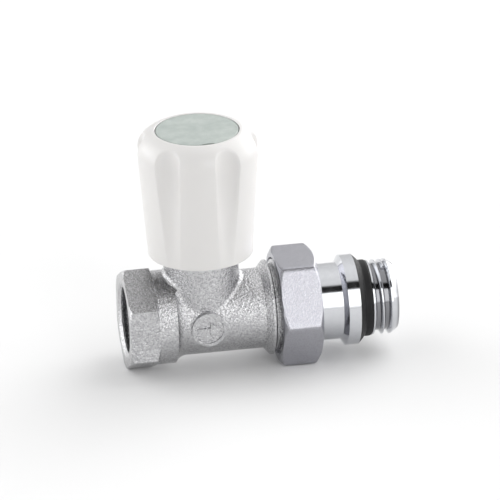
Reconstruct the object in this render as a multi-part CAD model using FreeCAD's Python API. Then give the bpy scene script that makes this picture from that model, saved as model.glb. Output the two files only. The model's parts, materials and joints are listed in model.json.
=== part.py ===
import FreeCAD, Part
import math
import os

# Straight manual radiator valve, iron-pipe pattern, with a handwheel and a union tail.
# Millimetres.  X runs with the flow from the female inlet to the male radiator thread, Z is the spindle.
# Positions along X are counted from the port's end face.  Heights along Z are counted from the pipe axis.
# Every solid is moved back by MOUTH_DEPTH at the end, so the origin is the centre of the inlet thread's
# first full turn.

V = FreeCAD.Vector
X_DIR = V(1, 0, 0)
Y_DIR = V(0, 1, 0)
Z_DIR = V(0, 0, 1)

# ---- threads ----------------------------------------------------------------------------------------
PIPE_PITCH = 1.814              # G 1/2 and G 3/4 have 14 turns to the inch
PIPE_DEPTH = 0.640327 * PIPE_PITCH
PIPE_HALF_ANGLE = 27.5          # half of the 55 degree Whitworth flank angle
HALF_INCH_R = 20.955 / 2        # G 1/2 major radius
UNION_R = 26.441 / 2            # G 3/4 major radius
THREAD_PLAY = 0.14              # gap between turning threads, radially and along the axis
LAND = 0.45                     # plain ring at each end of a pipe thread
CREST_SHY = 0.02                # a turn's crest stays this far behind the plain rings
HALF_TURN_SHY = 0.45            # a female thread ends this share of a pitch before its hole does
ROOT_SINK = 0.12                # how deep a thread's turns are rooted in their core
RUNOUT = 0.6                    # cone between a pipe thread's core and its plain ring
OVERRUN = 1.0                   # tools overrun the faces they cut, and joined solids overlap, by this much

# ---- inlet port -------------------------------------------------------------------------------------
PORT_AF = 26.0                  # spanner size of the port's hexagon, one corner up
PORT_HEX_LEN = 8.2
PORT_FACE_MORE = 1.7            # how much wider than the flats the chamfer's circle is on the end face
PORT_BACK_MORE = 1.0            # and at the shoulder
CHAMFER_SLOPE = math.tan(math.radians(30))
MOUTH_D = 21.1
MOUTH_DEPTH = 0.75
INLET_THREAD_LEN = 12.4
SHOULDER_D = 26.2
SHOULDER_END = 13.3
SHOULDER_TAPER = 3.0
TAPER_SAG_AT = 0.3              # a point of the taper's hollow curve, as shares of its length and its drop
TAPER_SAG = 0.55
PORT_BACK_EASE = 0.2            # the shoulder starts this much smaller inside the hexagon

# ---- tube, neck and boss ----------------------------------------------------------------------------
TUBE_D = 22.4
NECK_AT = 22.1
NECK_D = 20.9
NECK_TOP = 22.0
NECK_FILLET = 1.4
BOSS_D = 9.7
BOSS_PROUD = 0.85               # how far the boss stands out of the tube
BOSS_RING = 0.75                # width of the raised ring round the boss
BOSS_RELIEF = 0.5               # how far the ring and the flow arrow stand out of the boss
ARROW_SINK = 0.05               # the arrow stays this far behind the ring
ARROW_SHAFT = 0.4               # half of the shaft's width
ARROW_HEAD_AT = 0.1             # where the head starts and its half width, as shares of the half length
ARROW_HEAD_HALF = 0.55

# ---- water passages ---------------------------------------------------------------------------------
APPROACH_D = 17.0               # widening behind the inlet thread
LOWER_WAY_R = 3.75              # the flat passage under the seat
LOWER_WAY_SPREAD = 2.75
LOWER_WAY_Z = -4.55
LOWER_WAY_PAST = 5.0            # how far it runs past the spindle's axis
LOWER_WAY_SETBACK = 0.5         # how far behind the inlet thread it starts
APPROACH_LEN = 2.2              # the widening's cone, and the shorter cone before it
APPROACH_RISE = 1.2
APPROACH_STEP = 1.0
APPROACH_DROP = 3.0
SEAT_HOLE_D = 9.5
SEAT_FLOOR_Z = 1.0
SEAT_LIP_Z = 1.6
SEAT_LIP_D = 12.4
SEAT_LIP_SLOPE = 0.4            # the lip's foot is this much wider than its top
CHAMBER_D = 16.6
UPPER_WAY_D = 9.0               # window from the chamber to the outlet
UPPER_WAY_Z = 5.8
UPPER_WAY_PAST = 9.0
OUTLET_WAY_D = 15.2
OUTLET_WAY_FROM = 7.6           # starts this far past the spindle's axis

# ---- union ------------------------------------------------------------------------------------------
TUBE_END = 38.3
FLARE_LEN = 1.8
FLANGE_LEN = 1.2
UNION_LEN = 11.7                # from the tube's end to the end face of the body
CONE_LEN = 2.4                  # the union seat is a 45 degree cone that ends at the end face
CONE_PLAY = 0.12
NUT_AF = 29.6
NUT_SETBACK = 4.1               # from the tube's end to the nut
NUT_LEN = 11.5
NUT_CORNER_MORE = 4.3           # the corners are turned to a circle this much wider than the flats
NUT_LEFT_MORE = 1.0             # circles that the chamfers leave on the two faces
NUT_RIGHT_MORE = 0.2
NUT_CHAMFER_SLOPE = math.tan(math.radians(35))
NUT_THREAD_LEN = 8.2
NUT_LIP_LEN = 1.65
NUT_LIP_PLAY = 0.22             # radially, round the tail
NUT_MOUTH = 0.8
NUT_ROOM = 0.3                  # radially, round the split ring
NUT_LIP_EDGE = 0.4
THREAD_PHASE = 0.35             # the union's first turn starts this share of a pitch past the flange

# ---- tailpiece --------------------------------------------------------------------------------------
TAIL_D = 21.46
TAIL_BORE_D = 11.8
TAIL_NOSE_LEN = 0.2             # the tail's cone starts this far inside the seat's cone
KEY_AF = 12.0                   # hexagon for an Allen key, in the outlet's end
KEY_DEPTH = 9.0
RING_T = 1.1                    # split ring that holds the nut on the tail
RING_DEPTH = 1.0
RING_PROUD = 1.27
RING_GAP = 2.4
SLIP = 0.05                     # between faces that meet
COLLAR_D = 25.28
COLLAR_SETBACK = 6.35           # from the nut to the collar
COLLAR_RISE = 1.15
COLLAR_LEN = 3.4
COLLAR_FALL = 1.4
COLLAR_FOOT_D = 22.2
SEAL_W = 2.6
SEAL_D = 21.3
SEAL_SEAT_D = 18.0
TAIL_THREAD_LEN = 5.5
TAIL_TIP_LEN = 1.75             # bevelled end past the thread
TAIL_END_D = 18.56
CONE_RING_R = 0.7               # section of the O-ring on the tail's cone
CONE_RING_SHIFT = 0.5           # the ring lies this much inside the middle of the cone
RUBBER_PLAY = 0.02              # round rubber that lies in a groove
SEAL_ROUND = 0.3                # rounding of the seal's outer edges, as a share of its width

# ---- headwork ---------------------------------------------------------------------------------------
NECK_THREAD_R = 9.0             # M18 x 1
NECK_THREAD_PITCH = 1.0
NECK_THREAD_LEN = 8.0
FINE_DEPTH = 0.55
FINE_HALF_ANGLE = 30.0
GASKET_T = 0.6
GASKET_D = 20.6
GASKET_PLAY = 0.15
BONNET_AF = 19.0
BONNET_HEX_LEN = 5.4
BONNET_SKIRT_D = 16.0
BONNET_FOOT = -9.9              # this and the other headwork heights are counted from the neck's top
BONNET_NOSE_D = 13.6
BONNET_TOP = 11.0
BONNET_EDGE = 0.6               # chamfers of the bonnet's skirt and nose
GUIDE_AF = 11.2                 # hexagon that keeps the plug carrier from turning
GUIDE_PLAY = 0.1
SPINDLE_D = 8.0
SPINDLE_PLAY = 0.05
SPINDLE_FOOT = -9.0
SPINDLE_COLLAR_D = 10.8
SPINDLE_COLLAR_FOOT = 0.6
SPINDLE_COLLAR_T = 2.0
THRUST_T = 0.5
STEM_THREAD_R = 3.5             # left-handed, so that turning to the left lifts the plug
STEM_PITCH = 1.5
STEM_DEPTH = 0.75
STEM_HALF_ANGLE = 15.0
STEM_FIRST = 0.6                # the stem's first turn starts this share of a pitch above its foot
STEM_EDGE = 0.4                 # chamfer of the stem's foot
O_RING_ROOM = 1.2               # a groove's width over its O-ring's
O_RING_R = 0.5
O_RING_HEIGHTS = (5.2, 8.4)
CLIP_T = 0.8
CLIP_DEPTH = 0.8
CLIP_D = 11.2
CLIP_MOUTH = 5.0
DRIVE_R = 3.6                   # serrated top of the spindle
DRIVE_TOOTH = 0.45
DRIVE_TEETH = 18
DRIVE_FOOT = 12.5
DRIVE_TOP = 22.2
DRIVE_PLAY = 0.06
DRIVE_ROOT = 0.5                # how deep the serrated top is rooted in the round spindle

# ---- plug -------------------------------------------------------------------------------------------
SEAT_GAP = 0.1                  # shut, with the washer not squeezed
WASHER_D = 13.2
WASHER_T = 2.5
WASHER_CUP = 1.0
PLUG_HEAD_D = 14.6
PLUG_HEAD_T = 3.0
PLATE_D = 6.4
PLATE_T = 0.8
PLUG_SCREW_R = 1.5
PLUG_SCREW_HEAD_D = 5.6
PLUG_SCREW_HEAD_T = 1.7
PLUG_SCREW_GRIP = 2.2           # how deep the carrier's hole for the screw is
PLUG_SCREW_SPARE = 0.2          # the screw ends this far from the hole's end
CARRIER_FLOOR = 1.0             # solid between the screw's hole and the stem's thread
CARRIER_TOP = -4.5
SCREW_PLAY = 0.03
SCREW_HOLE_SPARE = 1.0          # how much deeper than its screw the spindle's hole is
PLUG_EDGE = 0.6                 # chamfers of the plug's head and of its screw's head

# ---- handwheel --------------------------------------------------------------------------------------
WHEEL_FOOT = -3.12              # counted from the neck's top
WHEEL_LEN = 36.15
WHEEL_BOTTOM_D = 29.2
CROWN_LEN = 5.4                 # from the widest place to the top
WHEEL_SHOULDER_D = 34.1
WHEEL_EDGE = 0.4                # chamfer round the bottom
CROWN_BULGE = 1.1               # how far the crown swells past the straight line from shoulder to rim
RIM_W = 0.75                    # flat rim between the cover and the crown
WHEEL_WALL = 1.9
FLUTE_COUNT = 6
FLUTE_REACH = 14.55             # the flutes' deepest line stands this far from the spindle's axis
FLUTE_R = 4.6
WHEEL_TURN = -9.5               # angle of the first flute
DECK_DROP = 0.6                 # the deck's underside is this far below the spindle's top
DECK_T = 2.4
HUB_D = 13.2
RIB_T = 1.4
RIB_SETBACK = 1.0               # the ribs start this far above the hub's foot
RIB_ROOT = 0.5                  # how deep hub and ribs are rooted in the deck and the wall
WELL_D = 19.8
POCKET_CAP = 4.6                # from the pocket to the top
POCKET_WALL = 1.6
POCKET_DROP = 6.0               # the inside tapers from the foot up to this far below the deck
FLUTE_WALL = 1.2                # wall left behind a flute's deepest line
COVER_D = 22.9
COVER_T = 1.5
COVER_PLAY = 0.2
COVER_SKIRT_T = 1.2
COVER_SKIRT_DEPTH = 3.0
COVER_SLOTS = 4
COVER_SLOT_W = 3.0
COVER_SKIRT_PLAY = 0.05
COVER_EDGE = 0.25
NOTCH_R = 4.5
NOTCH_BITE = 0.75
NOTCH_TURN = -75                # angle of the bite from the first flute
WHEEL_SCREW_R = 2.0
WHEEL_SCREW_HEAD_D = 7.6
WHEEL_SCREW_HEAD_T = 2.4
WHEEL_SCREW_GRIP = 7.0
WHEEL_SCREW_PLAY = 0.2          # round the screw in the handwheel's deck
WHEEL_SCREW_TIP = 0.4           # chamfer of the screw's tip
WHEEL_SCREW_BEVEL = 1.0         # bevel of its head
WHEEL_WASHER_D = 9.0
WHEEL_WASHER_T = 0.6
WHEEL_WASHER_PLAY = 0.15
CROSS_W = 0.9
CROSS_LEN = 2.9
CROSS_DEPTH = 1.2

# ---- sizes that follow ------------------------------------------------------------------------------
INLET_MINOR_R = HALF_INCH_R - PIPE_DEPTH
UNION_MINOR_R = UNION_R - PIPE_DEPTH
FLANGE_X = TUBE_END + FLARE_LEN
UNION_THREAD_X = FLANGE_X + FLANGE_LEN
UNION_END = TUBE_END + UNION_LEN
CONE_START = UNION_END - CONE_LEN
NUT_START = TUBE_END + NUT_SETBACK
NUT_END = NUT_START + NUT_LEN
LIP_X = NUT_END - NUT_LIP_LEN
RING_X = LIP_X - SLIP - RING_T
TAIL_R = TAIL_D / 2
COLLAR_FROM = NUT_END + COLLAR_SETBACK
COLLAR_TOP_X = COLLAR_FROM + COLLAR_RISE
SEAL_X = COLLAR_TOP_X + COLLAR_LEN + COLLAR_FALL
TAIL_THREAD_X = SEAL_X + SEAL_W
TAIL_THREAD_END = TAIL_THREAD_X + TAIL_THREAD_LEN
TAIL_END = TAIL_THREAD_END + TAIL_TIP_LEN
WASHER_Z = SEAT_LIP_Z + SEAT_GAP
PLUG_HEAD_Z = WASHER_Z + WASHER_T - WASHER_CUP
STEM_HEX_Z = PLUG_HEAD_Z + PLUG_HEAD_T
STEM_HOLE_Z = WASHER_Z + WASHER_T + PLUG_SCREW_GRIP + CARRIER_FLOOR
BONNET_FOOT_Z = NECK_TOP + BONNET_FOOT
BONNET_SEAT_Z = NECK_TOP + GASKET_T
BONNET_TOP_Z = NECK_TOP + BONNET_TOP
SPINDLE_FOOT_Z = NECK_TOP + SPINDLE_FOOT
SPINDLE_COLLAR_Z = NECK_TOP + SPINDLE_COLLAR_FOOT
O_RING_ZS = [NECK_TOP + height for height in O_RING_HEIGHTS]
DRIVE_Z = NECK_TOP + DRIVE_FOOT
DRIVE_TOP_Z = NECK_TOP + DRIVE_TOP
CARRIER_TOP_Z = NECK_TOP + CARRIER_TOP
BONNET_HEX_TOP_Z = BONNET_SEAT_Z + BONNET_HEX_LEN
THRUST_Z = SPINDLE_COLLAR_Z + SPINDLE_COLLAR_T
GUIDE_TOP_Z = THRUST_Z + THRUST_T + SLIP
CLIP_Z = BONNET_TOP_Z + SLIP
WHEEL_BOTTOM_Z = NECK_TOP + WHEEL_FOOT
WHEEL_TOP_Z = WHEEL_BOTTOM_Z + WHEEL_LEN
WHEEL_SHOULDER_Z = WHEEL_TOP_Z - CROWN_LEN
POCKET_TOP_Z = WHEEL_TOP_Z - POCKET_CAP
DECK_Z = DRIVE_TOP_Z - DECK_DROP
DECK_TOP_Z = DECK_Z + DECK_T
HUB_Z = DRIVE_Z + 2 * SLIP
COVER_SEAT_Z = WHEEL_TOP_Z - COVER_T


# ---- drawing helpers --------------------------------------------------------------------------------
def spin(profile, origin, axis):
    face = Part.Face(Part.makePolygon(profile + profile[:1]))
    return face.revolve(origin, axis, 360)


def turned_x(points):
    """A solid turned about the pipe axis, from (position, radius) corners."""
    return spin([V(x, 0, r) for x, r in points], V(0, 0, 0), X_DIR)


def turned_z(points):
    """A solid turned about the spindle's axis, from (height, radius) corners."""
    return spin([V(NECK_AT + r, 0, z) for z, r in points], V(NECK_AT, 0, 0), Z_DIR)


def rod_x(x0, x1, radius, y=0.0, z=0.0):
    return Part.makeCylinder(radius, x1 - x0, V(x0, y, z), X_DIR)


def rod_z(z0, z1, radius, x=NECK_AT, y=0.0):
    return Part.makeCylinder(radius, z1 - z0, V(x, y, z0), Z_DIR)


def pipe_x(x0, x1, outer, inner):
    return turned_x([(x0, inner), (x0, outer), (x1, outer), (x1, inner)])


def pipe_z(z0, z1, outer, inner):
    return turned_z([(z0, inner), (z0, outer), (z1, outer), (z1, inner)])


def hexagon(centre, direction, across_flats, length, corner_dir):
    """A hexagonal bar from centre along direction, with one corner towards corner_dir."""
    side_dir = direction.cross(corner_dir)
    corner_r = across_flats / 2 / math.cos(math.pi / 6)
    corners = []
    for k in range(7):
        a = math.pi / 3 * k
        corners.append(centre + corner_dir * (corner_r * math.cos(a)) + side_dir * (corner_r * math.sin(a)))
    return Part.Face(Part.makePolygon(corners)).extrude(direction * length)


def torus_z(z, centre_r, section_r):
    return Part.makeTorus(centre_r, section_r, V(NECK_AT, 0, z), Z_DIR)


def winding(core_r, crest_r, pitch, turns, half_angle, crest_w, left_handed=False):
    """One helical ridge about +Z, from z = 0.  crest_r is inside core_r for a female thread."""
    outward = 1 if crest_r > core_r else -1
    root_r = core_r - outward * ROOT_SINK
    root_w = crest_w + 2 * abs(crest_r - root_r) * math.tan(math.radians(half_angle))
    profile = [V(root_r, 0, -root_w / 2), V(root_r, 0, root_w / 2), V(crest_r, 0, crest_w / 2),
               V(crest_r, 0, -crest_w / 2)]
    helix = Part.makeLongHelix(pitch, pitch * turns, core_r, 0, left_handed)
    return Part.Wire(helix.Edges).makePipeShell([Part.makePolygon(profile + profile[:1])], True, True)


def along_x(shape, x):
    """Lays a shape that was drawn about +Z along +X, with its z = 0 at x."""
    placed = shape.copy()
    placed.rotate(V(0, 0, 0), Y_DIR, 90)
    placed.translate(V(x, 0, 0))
    return placed


def along_z(shape, z):
    placed = shape.copy()
    placed.translate(V(NECK_AT, 0, z))
    return placed


def pipe_crest(play=0.0):
    """Width of a pipe thread's crest, which is as wide as the gap at its root."""
    full = PIPE_PITCH - 2 * PIPE_DEPTH * math.tan(math.radians(PIPE_HALF_ANGLE))
    return full / 2 - play


# ---- valve body -------------------------------------------------------------------------------------
def port_hexagon():
    corner_r = PORT_AF / 2 / math.cos(math.pi / 6)
    face_r = (PORT_AF + PORT_FACE_MORE) / 2
    back_r = (PORT_AF + PORT_BACK_MORE) / 2
    front = (corner_r - face_r) * CHAMFER_SLOPE
    back = (corner_r - back_r) * CHAMFER_SLOPE
    limit = turned_x([(0, 0), (0, face_r), (front, corner_r), (PORT_HEX_LEN - back, corner_r),
                      (PORT_HEX_LEN, back_r), (PORT_HEX_LEN, 0)])
    return hexagon(V(0, 0, 0), X_DIR, PORT_AF, PORT_HEX_LEN, Z_DIR).common(limit)


def shoulder_and_tube():
    """Round shoulder behind the hexagon, drawn in by a hollow curve to the tube."""
    start = PORT_HEX_LEN - OVERRUN
    r = SHOULDER_D / 2
    taper_end = SHOULDER_END + SHOULDER_TAPER
    drop = r - TUBE_D / 2
    sag = V(SHOULDER_END + SHOULDER_TAPER * TAPER_SAG_AT, 0, r - drop * TAPER_SAG)
    curve = Part.Arc(V(SHOULDER_END, 0, r), sag, V(taper_end, 0, TUBE_D / 2)).toShape()
    sides = Part.makePolygon([V(taper_end, 0, TUBE_D / 2), V(TUBE_END, 0, TUBE_D / 2), V(TUBE_END, 0, 0),
                              V(start, 0, 0), V(start, 0, r - PORT_BACK_EASE), V(PORT_HEX_LEN, 0, r),
                              V(SHOULDER_END, 0, r)])
    outline = Part.Wire(Part.__sortEdges__(sides.Edges + [curve]))
    return Part.Face(outline).revolve(V(0, 0, 0), X_DIR, 360)


def body_outside():
    """Shoulder, tube and neck with a fillet round the neck's foot."""
    both = shoulder_and_tube().fuse(rod_z(0, NECK_TOP, NECK_D / 2)).removeSplitter()
    seam = []
    for edge in both.Edges:
        on_neck = [abs(math.hypot(p.X - NECK_AT, p.Y) - NECK_D / 2) < 1e-4 for p in edge.Vertexes]
        if all(on_neck) and isinstance(edge.Curve, Part.BSplineCurve):
            seam.append(edge)
    return both.makeFillet(NECK_FILLET, seam)


def boss():
    """Round pad on the front of the body with a raised ring and a flow arrow."""
    face_y = -(TUBE_D / 2 + BOSS_PROUD)
    pad = Part.makeCylinder(BOSS_D / 2, -face_y - CHAMBER_D / 4, V(NECK_AT, face_y, 0), Y_DIR)
    floor_r = BOSS_D / 2 - BOSS_RING
    pad = pad.cut(Part.makeCylinder(floor_r, BOSS_RELIEF, V(NECK_AT, face_y, 0), Y_DIR))
    tip = floor_r - BOSS_RING
    barb = tip * ARROW_HEAD_HALF
    neck = tip * ARROW_HEAD_AT
    outline = [(-tip, -ARROW_SHAFT), (neck, -ARROW_SHAFT), (neck, -barb), (tip, 0), (neck, barb),
               (neck, ARROW_SHAFT), (-tip, ARROW_SHAFT)]
    corners = [V(NECK_AT + x, face_y + ARROW_SINK, z) for x, z in outline]
    arrow = Part.Face(Part.makePolygon(corners + corners[:1])).extrude(Y_DIR * BOSS_RELIEF)
    return pad.fuse(arrow)


def union_outside():
    r = UNION_R
    start = TUBE_END - OVERRUN
    end = turned_x([(start, 0), (start, TUBE_D / 2), (TUBE_END, TUBE_D / 2), (FLANGE_X, r),
                    (UNION_THREAD_X - RUNOUT, r), (UNION_THREAD_X, UNION_MINOR_R),
                    (UNION_END, UNION_MINOR_R), (UNION_END, 0)])
    turns = (UNION_END - UNION_THREAD_X) / PIPE_PITCH - 0.9
    ridge = winding(UNION_MINOR_R, r, PIPE_PITCH, turns, PIPE_HALF_ANGLE, pipe_crest())
    return end.fuse(along_x(ridge, UNION_THREAD_X + PIPE_PITCH * THREAD_PHASE))


def inlet_hollow():
    """Chamfered mouth, a plain ring at each end of the thread and the widening behind it."""
    minor, major = INLET_MINOR_R, HALF_INCH_R
    start = MOUTH_DEPTH + LAND
    stop = MOUTH_DEPTH + INLET_THREAD_LEN - LAND
    mouth_r = MOUTH_D / 2
    tip = MOUTH_DEPTH + INLET_THREAD_LEN
    hollow = turned_x([(-OVERRUN, 0), (-OVERRUN, mouth_r), (0, mouth_r), (MOUTH_DEPTH, minor),
                       (start, minor), (start + RUNOUT, major), (stop - RUNOUT, major), (stop, minor),
                       (tip, minor), (tip + APPROACH_RISE, APPROACH_D / 2 - APPROACH_STEP),
                       (tip + APPROACH_LEN, APPROACH_D / 2 - APPROACH_DROP), (tip + APPROACH_LEN, 0)])
    turns = (stop - start - RUNOUT) / PIPE_PITCH - 0.8
    ridge = winding(major, minor + CREST_SHY, PIPE_PITCH, turns, PIPE_HALF_ANGLE, pipe_crest())
    return hollow.cut(along_x(ridge, start + PIPE_PITCH * 0.5))


def seat_hollow():
    """Passage under the seat, the seat itself and the chamber above it up to the headwork's thread."""
    way_end = NECK_AT + LOWER_WAY_PAST
    way_start = MOUTH_DEPTH + INLET_THREAD_LEN + LOWER_WAY_SETBACK
    way = Part.makeBox(way_end - way_start, 2 * LOWER_WAY_SPREAD, 2 * LOWER_WAY_R,
                       V(way_start, -LOWER_WAY_SPREAD, LOWER_WAY_Z - LOWER_WAY_R))
    for side in (-1, 1):
        way = way.fuse(rod_x(way_start, way_end, LOWER_WAY_R, side * LOWER_WAY_SPREAD, LOWER_WAY_Z))
    seat_r = SEAT_HOLE_D / 2
    lip_r = SEAT_LIP_D / 2
    chamber_r = CHAMBER_D / 2
    thread_z = NECK_TOP - NECK_THREAD_LEN
    root_r = NECK_THREAD_R + THREAD_PLAY / 2
    chamber = turned_z([(LOWER_WAY_Z, 0), (LOWER_WAY_Z, seat_r), (SEAT_LIP_Z, seat_r), (SEAT_LIP_Z, lip_r),
                        (SEAT_FLOOR_Z, lip_r + SEAT_LIP_SLOPE), (SEAT_FLOOR_Z, chamber_r),
                        (thread_z - RUNOUT, chamber_r), (thread_z, root_r), (NECK_TOP + OVERRUN, root_r),
                        (NECK_TOP + OVERRUN, 0)])
    window = rod_x(NECK_AT, NECK_AT + UPPER_WAY_PAST, UPPER_WAY_D / 2, 0, UPPER_WAY_Z)
    return way.fuse(chamber).fuse(window)


def outlet_hollow():
    r = OUTLET_WAY_D / 2
    start = NECK_AT + OUTLET_WAY_FROM
    mouth_r = r + UNION_END - CONE_START
    return turned_x([(start, 0), (start, r), (CONE_START, r), (UNION_END, mouth_r),
                     (UNION_END + OVERRUN, mouth_r), (UNION_END + OVERRUN, 0)])


def fine_winding(core_r, crest_r, play):
    """The neck's M18 x 1 turns, about +Z from z = 0."""
    root_w = 2 * FINE_DEPTH * math.tan(math.radians(FINE_HALF_ANGLE))
    crest_w = (NECK_THREAD_PITCH - root_w) / 2 - play
    turns = NECK_THREAD_LEN / NECK_THREAD_PITCH - 2
    return winding(core_r, crest_r, NECK_THREAD_PITCH, turns, FINE_HALF_ANGLE, crest_w)


def valve_body():
    outside = port_hexagon().fuse(body_outside()).fuse(boss()).fuse(union_outside())
    hollow = inlet_hollow().fuse(seat_hollow()).fuse(outlet_hollow())
    body = outside.cut(hollow)
    root_r = NECK_THREAD_R + THREAD_PLAY / 2
    crest_r = NECK_THREAD_R - FINE_DEPTH + THREAD_PLAY / 2
    turns = fine_winding(root_r, crest_r, THREAD_PLAY)
    return body.fuse(along_z(turns, NECK_TOP - NECK_THREAD_LEN + NECK_THREAD_PITCH * 1.5))


# ---- headwork ---------------------------------------------------------------------------------------
def bonnet():
    core_r = NECK_THREAD_R - FINE_DEPTH - THREAD_PLAY / 2
    thread_z = NECK_TOP - NECK_THREAD_LEN
    corner_r = BONNET_AF / 2 / math.cos(math.pi / 6)
    drop = (corner_r - BONNET_AF / 2) * CHAMFER_SLOPE
    shank = turned_z([(BONNET_FOOT_Z, 0), (BONNET_FOOT_Z, BONNET_SKIRT_D / 2 - BONNET_EDGE),
                      (BONNET_FOOT_Z + BONNET_EDGE, BONNET_SKIRT_D / 2), (thread_z, BONNET_SKIRT_D / 2),
                      (thread_z + 0.3, core_r), (BONNET_SEAT_Z, core_r), (BONNET_SEAT_Z, 0)])
    limit = turned_z([(BONNET_SEAT_Z, 0), (BONNET_SEAT_Z, corner_r), (BONNET_HEX_TOP_Z - drop, corner_r),
                      (BONNET_HEX_TOP_Z, BONNET_AF / 2), (BONNET_HEX_TOP_Z, 0)])
    head = hexagon(V(NECK_AT, 0, BONNET_SEAT_Z), Z_DIR, BONNET_AF, BONNET_HEX_LEN, X_DIR).common(limit)
    nose_z = BONNET_HEX_TOP_Z - OVERRUN
    nose_r = BONNET_NOSE_D / 2
    nose = turned_z([(nose_z, 0), (nose_z, nose_r), (BONNET_TOP_Z - BONNET_EDGE, nose_r),
                     (BONNET_TOP_Z, nose_r - BONNET_EDGE), (BONNET_TOP_Z, 0)])
    ridge = fine_winding(core_r, NECK_THREAD_R - THREAD_PLAY / 2, 0)
    body = shank.fuse(head).fuse(nose).fuse(along_z(ridge, thread_z + NECK_THREAD_PITCH))
    guide_z = BONNET_FOOT_Z - OVERRUN
    guide = hexagon(V(NECK_AT, 0, guide_z), Z_DIR, GUIDE_AF, GUIDE_TOP_Z - guide_z, X_DIR)
    bore = rod_z(GUIDE_TOP_Z - OVERRUN, BONNET_TOP_Z + OVERRUN, SPINDLE_D / 2 + SPINDLE_PLAY)
    return body.cut(guide).cut(bore)


def bonnet_gasket():
    return pipe_z(NECK_TOP, BONNET_SEAT_Z, GASKET_D / 2, NECK_THREAD_R + GASKET_PLAY)


def serrated(z0, z1, grow):
    """A serrated bar about the spindle's axis, as on the spindle's top, grown by a clearance."""
    corners = []
    for k in range(2 * DRIVE_TEETH + 1):
        a = math.pi * k / DRIVE_TEETH
        r = DRIVE_R + grow - (DRIVE_TOOTH if k % 2 else 0)
        corners.append(V(NECK_AT + r * math.cos(a), r * math.sin(a), z0))
    return Part.Face(Part.makePolygon(corners)).extrude(V(0, 0, z1 - z0))


def spindle():
    r = SPINDLE_D / 2
    core = STEM_THREAD_R - STEM_DEPTH
    groove_r = r - 2 * O_RING_R
    points = [(SPINDLE_FOOT_Z, 0), (SPINDLE_FOOT_Z, core - STEM_EDGE), (SPINDLE_FOOT_Z + STEM_EDGE, core),
              (SPINDLE_COLLAR_Z, core), (SPINDLE_COLLAR_Z, SPINDLE_COLLAR_D / 2),
              (THRUST_Z, SPINDLE_COLLAR_D / 2), (THRUST_Z, r)]
    for z in O_RING_ZS:
        half = O_RING_R * O_RING_ROOM
        points += [(z - half, r), (z - half, groove_r), (z + half, groove_r), (z + half, r)]
    clip_r = r - CLIP_DEPTH
    clip_top = CLIP_Z + CLIP_T + SLIP
    points += [(CLIP_Z, r), (CLIP_Z, clip_r), (clip_top, clip_r), (clip_top, r), (DRIVE_Z, r), (DRIVE_Z, 0)]
    turns = (SPINDLE_COLLAR_Z - SPINDLE_FOOT_Z) / STEM_PITCH - 2 * STEM_FIRST
    ridge = winding(core, STEM_THREAD_R, STEM_PITCH, turns, STEM_HALF_ANGLE, stem_crest(0), True)
    hole = rod_z(DRIVE_TOP_Z - WHEEL_SCREW_GRIP - SCREW_HOLE_SPARE, DRIVE_TOP_Z + OVERRUN,
                 WHEEL_SCREW_R + SCREW_PLAY)
    body = turned_z(points).fuse(serrated(DRIVE_Z - DRIVE_ROOT, DRIVE_TOP_Z, 0))
    return body.fuse(along_z(ridge, SPINDLE_FOOT_Z + STEM_PITCH * STEM_FIRST)).cut(hole)


def stem_crest(play):
    return (STEM_PITCH - 2 * STEM_DEPTH * math.tan(math.radians(STEM_HALF_ANGLE))) / 2 - play


def thrust_washer():
    return pipe_z(THRUST_Z, THRUST_Z + THRUST_T, SPINDLE_COLLAR_D / 2, SPINDLE_D / 2 + SLIP)


def spindle_o_ring(z):
    return torus_z(z, SPINDLE_D / 2 - O_RING_R, O_RING_R)


def spindle_clip():
    """E-shaped clip in the spindle's groove, on top of the bonnet."""
    ring = pipe_z(CLIP_Z, CLIP_Z + CLIP_T, CLIP_D / 2, SPINDLE_D / 2 - CLIP_DEPTH + SLIP)
    corner = V(NECK_AT, -CLIP_MOUTH / 2, CLIP_Z - OVERRUN)
    mouth = Part.makeBox(CLIP_D, CLIP_MOUTH, CLIP_T + 2 * OVERRUN, corner)
    return ring.cut(mouth)


# ---- plug -------------------------------------------------------------------------------------------
def plug_carrier():
    head_r = PLUG_HEAD_D / 2
    head = turned_z([(PLUG_HEAD_Z, 0), (PLUG_HEAD_Z, head_r), (STEM_HEX_Z - PLUG_EDGE, head_r),
                     (STEM_HEX_Z, head_r - PLUG_EDGE), (STEM_HEX_Z, 0)])
    cup = rod_z(PLUG_HEAD_Z - OVERRUN, PLUG_HEAD_Z + WASHER_CUP, WASHER_D / 2 + SLIP)
    stem_z = STEM_HEX_Z - OVERRUN
    stem = hexagon(V(NECK_AT, 0, stem_z), Z_DIR, GUIDE_AF - 2 * GUIDE_PLAY, CARRIER_TOP_Z - stem_z, X_DIR)
    root_r = STEM_THREAD_R + THREAD_PLAY
    hole = rod_z(STEM_HOLE_Z, CARRIER_TOP_Z + OVERRUN, root_r)
    screw_hole = rod_z(PLUG_HEAD_Z, STEM_HOLE_Z - CARRIER_FLOOR, PLUG_SCREW_R + SCREW_PLAY)
    crest_r = STEM_THREAD_R - STEM_DEPTH + THREAD_PLAY
    first = SPINDLE_FOOT_Z + STEM_PITCH * STEM_FIRST
    shift = math.floor((first - STEM_HOLE_Z) / STEM_PITCH) - 1
    start = first + STEM_PITCH * 0.5 - shift * STEM_PITCH
    turns = (CARRIER_TOP_Z - start) / STEM_PITCH - HALF_TURN_SHY
    ridge = winding(root_r, crest_r, STEM_PITCH, turns, STEM_HALF_ANGLE, stem_crest(THREAD_PLAY * 2), True)
    return head.fuse(stem).cut(cup).cut(hole).cut(screw_hole).fuse(along_z(ridge, start))


def plug_washer():
    return pipe_z(WASHER_Z, WASHER_Z + WASHER_T, WASHER_D / 2, PLUG_SCREW_R + SLIP)


def plug_plate():
    return pipe_z(WASHER_Z - PLATE_T, WASHER_Z, PLATE_D / 2, PLUG_SCREW_R + SLIP)


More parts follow.
